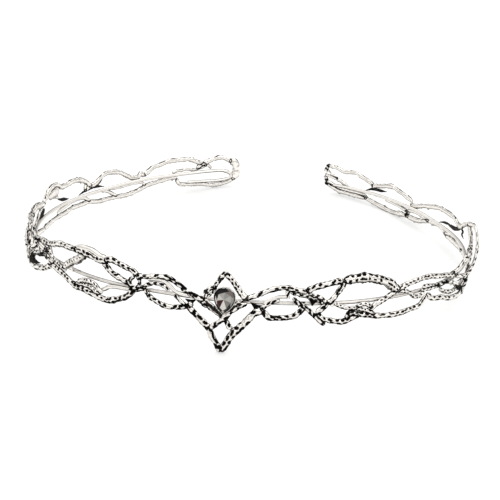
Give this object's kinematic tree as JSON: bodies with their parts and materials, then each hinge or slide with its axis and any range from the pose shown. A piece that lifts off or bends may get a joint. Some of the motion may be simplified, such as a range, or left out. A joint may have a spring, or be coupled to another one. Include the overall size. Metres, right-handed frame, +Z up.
{
  "type": "open twig circlet",
  "caption": "Open-backed circlet of woven, pitted twigs in cast metal, with a pointed front and a faceted drop stone.",
  "frame": {"origin": "middle of the outline, on the surface that the circlet stands on", "axes": "+Z up as it stands, -Y to the front with the stone, +X to the wearer's left"},
  "size_m": [0.1529, 0.143, 0.0263],
  "materials": {
    "antique_silver": "polished on the high faces, dark oxide in the pits",
    "dark_stone": "facet-cut and polished"
  },
  "bodies": {
    "root": {"circlet": "antique_silver", "stone": "dark_stone"}
  },
  "joints": []
}
